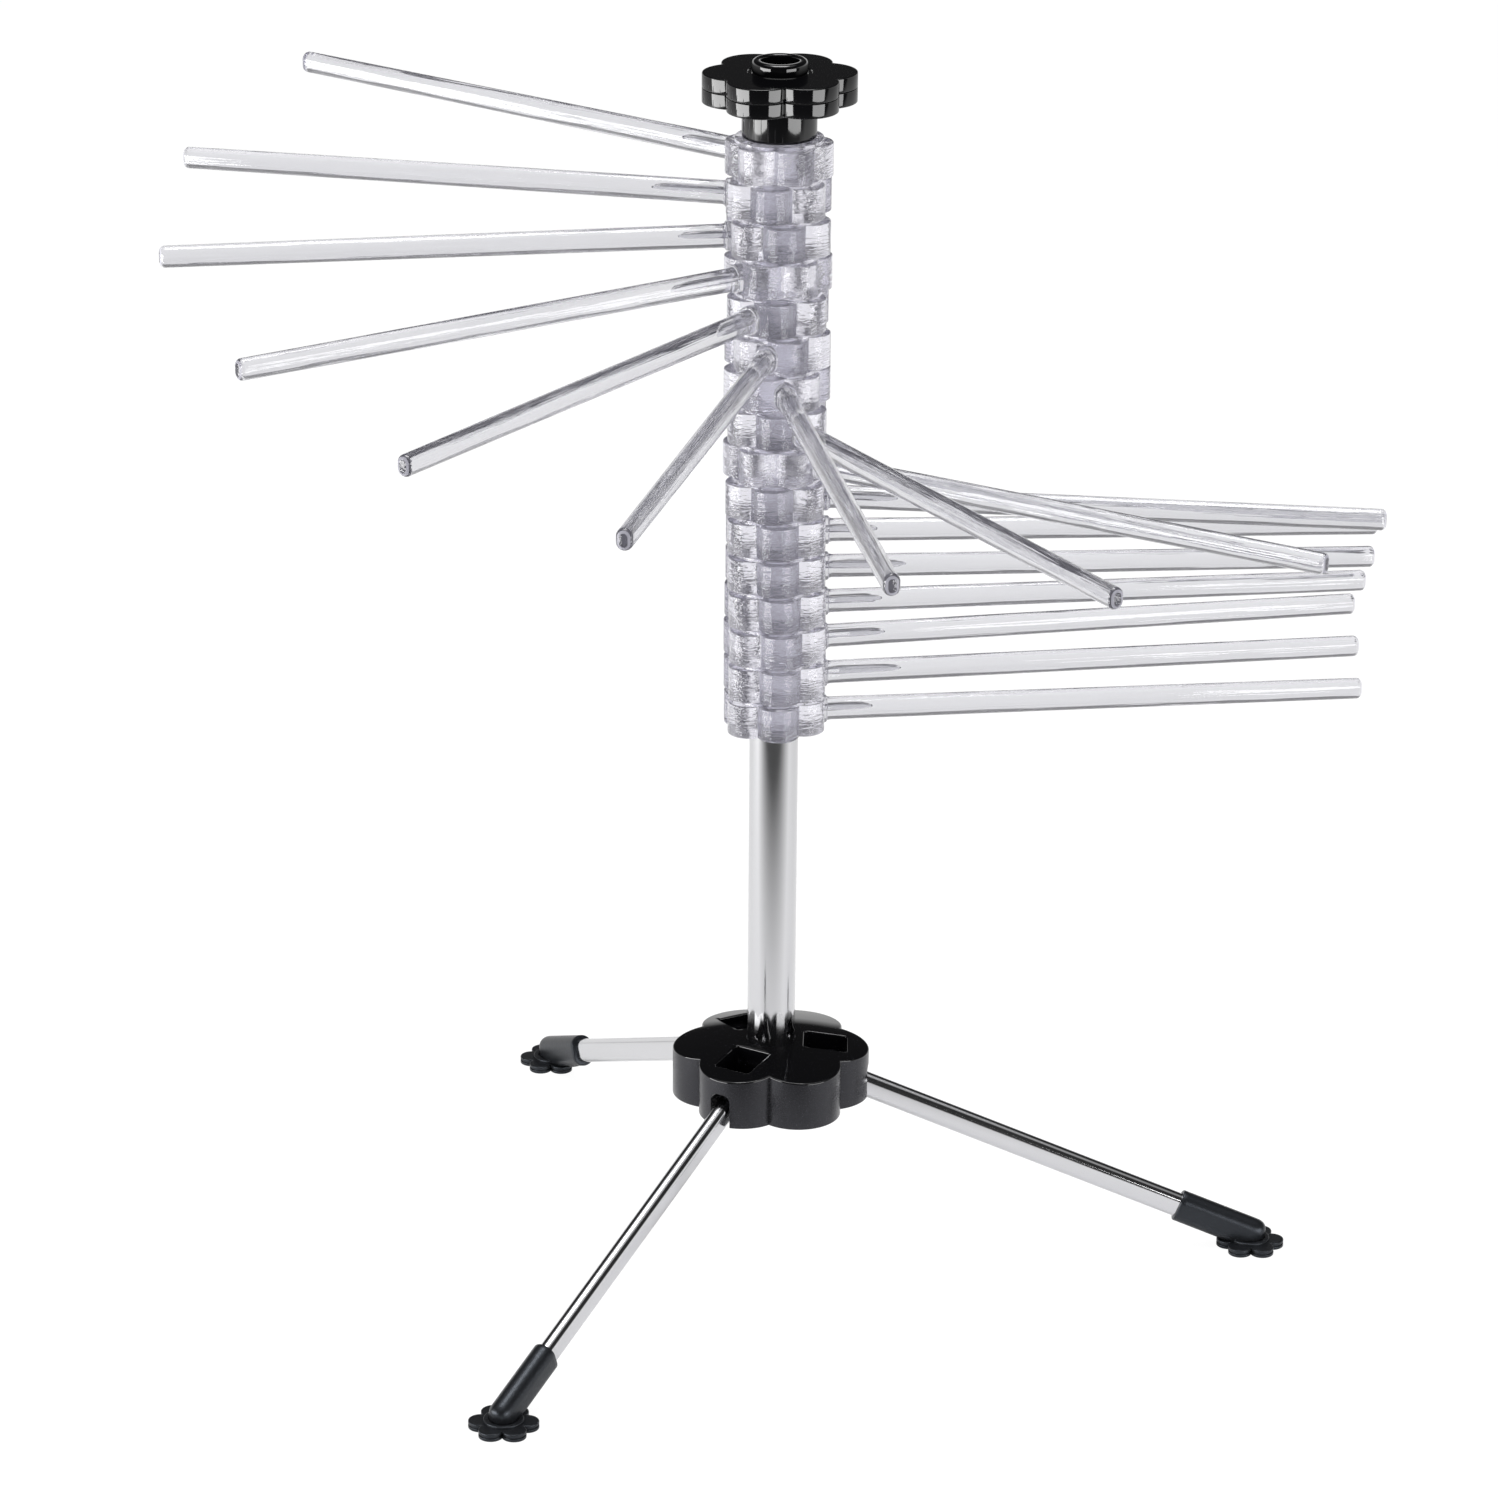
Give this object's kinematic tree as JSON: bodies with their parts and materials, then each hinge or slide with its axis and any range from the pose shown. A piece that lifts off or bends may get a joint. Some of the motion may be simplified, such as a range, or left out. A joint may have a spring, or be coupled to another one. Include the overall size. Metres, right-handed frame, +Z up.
{
  "type": "pasta drying rack",
  "caption": "Free-standing rack for drying fresh pasta: clear arms turn on a steel column under a lobed knob, on a lobed base with folding legs and rubber feet.",
  "frame": {"origin": "on the floor, under the column's centre line", "axes": "+Z up along the column; +X to the right and +Y away from the viewer in the picture"},
  "size_m": [0.4506, 0.4002, 0.474],
  "materials": {
    "clear_plastic": "clear moulded plastic with a faint lavender tint, polished",
    "polished_steel": "polished stainless steel",
    "gloss_black_plastic": "mirror gloss moulding",
    "satin_black_plastic": "fine satin moulding",
    "charcoal_rubber": "smooth matte"
  },
  "bodies": {
    "stand": {"base_body": "satin_black_plastic", "base_cover": "satin_black_plastic", "cover_screws": "polished_steel", "column_tube": "polished_steel", "column_foot_plug": "polished_steel", "column_screw": "polished_steel", "column_top_plug": "polished_steel", "knob_screw": "polished_steel", "stop_ring": "polished_steel", "leg_pin_1": "polished_steel", "leg_pin_2": "polished_steel", "leg_pin_3": "polished_steel"},
    "knob": {"knob_body": "gloss_black_plastic", "knob_cap": "gloss_black_plastic"},
    "leg_1": {"leg_knuckle_1": "satin_black_plastic", "leg_tube_1": "polished_steel", "foot_1": "charcoal_rubber"},
    "leg_2": {"leg_knuckle_2": "satin_black_plastic", "leg_tube_2": "polished_steel", "foot_2": "charcoal_rubber"},
    "leg_3": {"leg_knuckle_3": "satin_black_plastic", "leg_tube_3": "polished_steel", "foot_3": "charcoal_rubber"},
    "arm_01": {"arm_01": "clear_plastic"},
    "arm_02": {"arm_02": "clear_plastic"},
    "arm_03": {"arm_03": "clear_plastic"},
    "arm_04": {"arm_04": "clear_plastic"},
    "arm_05": {"arm_05": "clear_plastic"},
    "arm_06": {"arm_06": "clear_plastic"},
    "arm_07": {"arm_07": "clear_plastic"},
    "arm_08": {"arm_08": "clear_plastic"},
    "arm_09": {"arm_09": "clear_plastic"},
    "arm_10": {"arm_10": "clear_plastic"},
    "arm_11": {"arm_11": "clear_plastic"},
    "arm_12": {"arm_12": "clear_plastic"},
    "arm_13": {"arm_13": "clear_plastic"},
    "arm_14": {"arm_14": "clear_plastic"},
    "arm_15": {"arm_15": "clear_plastic"},
    "arm_16": {"arm_16": "clear_plastic"}
  },
  "joints": [
    {"name": "knob_turn", "type": "hinge", "parent": "stand", "child": "knob", "pos_m": [0, 0, 0.4454], "axis": [0, 0, 1], "continuous": true},
    {"name": "leg_1_fold", "type": "hinge", "parent": "stand", "child": "leg_1", "pos_m": [-0.01179, -0.01969, 0.0722], "axis": [0.8581, -0.5135, 0], "range_deg": [0, 67]},
    {"name": "leg_2_fold", "type": "hinge", "parent": "stand", "child": "leg_2", "pos_m": [0.02295, -0.00036, 0.0722], "axis": [0.0157, 0.9999, 0], "range_deg": [0, 67]},
    {"name": "leg_3_fold", "type": "hinge", "parent": "stand", "child": "leg_3", "pos_m": [-0.01116, 0.02005, 0.0722], "axis": [-0.8738, -0.4863, 0], "range_deg": [0, 67]},
    {"name": "arm_01_turn", "type": "hinge", "parent": "stand", "child": "arm_01", "pos_m": [0, 0, 0.431], "axis": [0, 0, 1], "continuous": true},
    {"name": "arm_02_turn", "type": "hinge", "parent": "stand", "child": "arm_02", "pos_m": [0, 0, 0.4166], "axis": [0, 0, 1], "continuous": true},
    {"name": "arm_03_turn", "type": "hinge", "parent": "stand", "child": "arm_03", "pos_m": [0, 0, 0.4022], "axis": [0, 0, 1], "continuous": true},
    {"name": "arm_04_turn", "type": "hinge", "parent": "stand", "child": "arm_04", "pos_m": [0, 0, 0.3878], "axis": [0, 0, 1], "continuous": true},
    {"name": "arm_05_turn", "type": "hinge", "parent": "stand", "child": "arm_05", "pos_m": [0, 0, 0.3734], "axis": [0, 0, 1], "continuous": true},
    {"name": "arm_06_turn", "type": "hinge", "parent": "stand", "child": "arm_06", "pos_m": [0, 0, 0.359], "axis": [0, 0, 1], "continuous": true},
    {"name": "arm_07_turn", "type": "hinge", "parent": "stand", "child": "arm_07", "pos_m": [0, 0, 0.3446], "axis": [0, 0, 1], "continuous": true},
    {"name": "arm_08_turn", "type": "hinge", "parent": "stand", "child": "arm_08", "pos_m": [0, 0, 0.3302], "axis": [0, 0, 1], "continuous": true},
    {"name": "arm_09_turn", "type": "hinge", "parent": "stand", "child": "arm_09", "pos_m": [0, 0, 0.3158], "axis": [0, 0, 1], "continuous": true},
    {"name": "arm_10_turn", "type": "hinge", "parent": "stand", "child": "arm_10", "pos_m": [0, 0, 0.3014], "axis": [0, 0, 1], "continuous": true},
    {"name": "arm_11_turn", "type": "hinge", "parent": "stand", "child": "arm_11", "pos_m": [0, 0, 0.287], "axis": [0, 0, 1], "continuous": true},
    {"name": "arm_12_turn", "type": "hinge", "parent": "stand", "child": "arm_12", "pos_m": [0, 0, 0.2726], "axis": [0, 0, 1], "continuous": true},
    {"name": "arm_13_turn", "type": "hinge", "parent": "stand", "child": "arm_13", "pos_m": [0, 0, 0.2582], "axis": [0, 0, 1], "continuous": true},
    {"name": "arm_14_turn", "type": "hinge", "parent": "stand", "child": "arm_14", "pos_m": [0, 0, 0.2438], "axis": [0, 0, 1], "continuous": true},
    {"name": "arm_15_turn", "type": "hinge", "parent": "stand", "child": "arm_15", "pos_m": [0, 0, 0.2294], "axis": [0, 0, 1], "continuous": true},
    {"name": "arm_16_turn", "type": "hinge", "parent": "stand", "child": "arm_16", "pos_m": [0, 0, 0.215], "axis": [0, 0, 1], "continuous": true}
  ]
}
